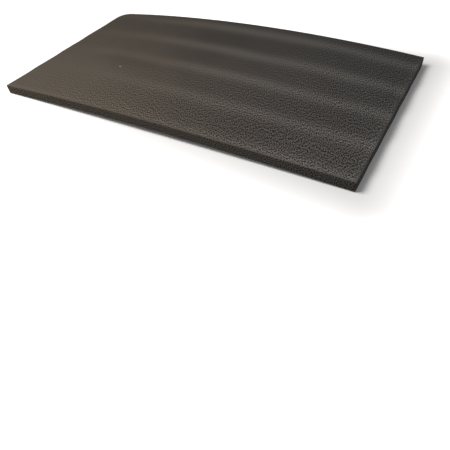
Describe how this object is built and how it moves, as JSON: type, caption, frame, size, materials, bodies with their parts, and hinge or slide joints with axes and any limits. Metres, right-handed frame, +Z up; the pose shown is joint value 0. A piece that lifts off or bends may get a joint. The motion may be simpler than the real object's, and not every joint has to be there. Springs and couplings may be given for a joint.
{
  "type": "foam sheet",
  "caption": "Thin rectangular sheet of soft dark grey closed-cell foam with square-cut edges, low ripples and a slight bow, for cushioning, lining and packing.",
  "frame": {"origin": "middle of the footprint, on the surface that the sheet rests on", "axes": "+X along the length, +Y across the width from the front edge to the back edge with the rounded corner at its left end, +Z up through the thickness"},
  "size_m": [0.25, 0.13, 0.012],
  "materials": {
    "foam": "matte dark grey closed-cell foam with a fine leathery grain on its faces and smoother cut edges"
  },
  "bodies": {
    "root": {"foam_sheet": "foam"}
  },
  "joints": []
}
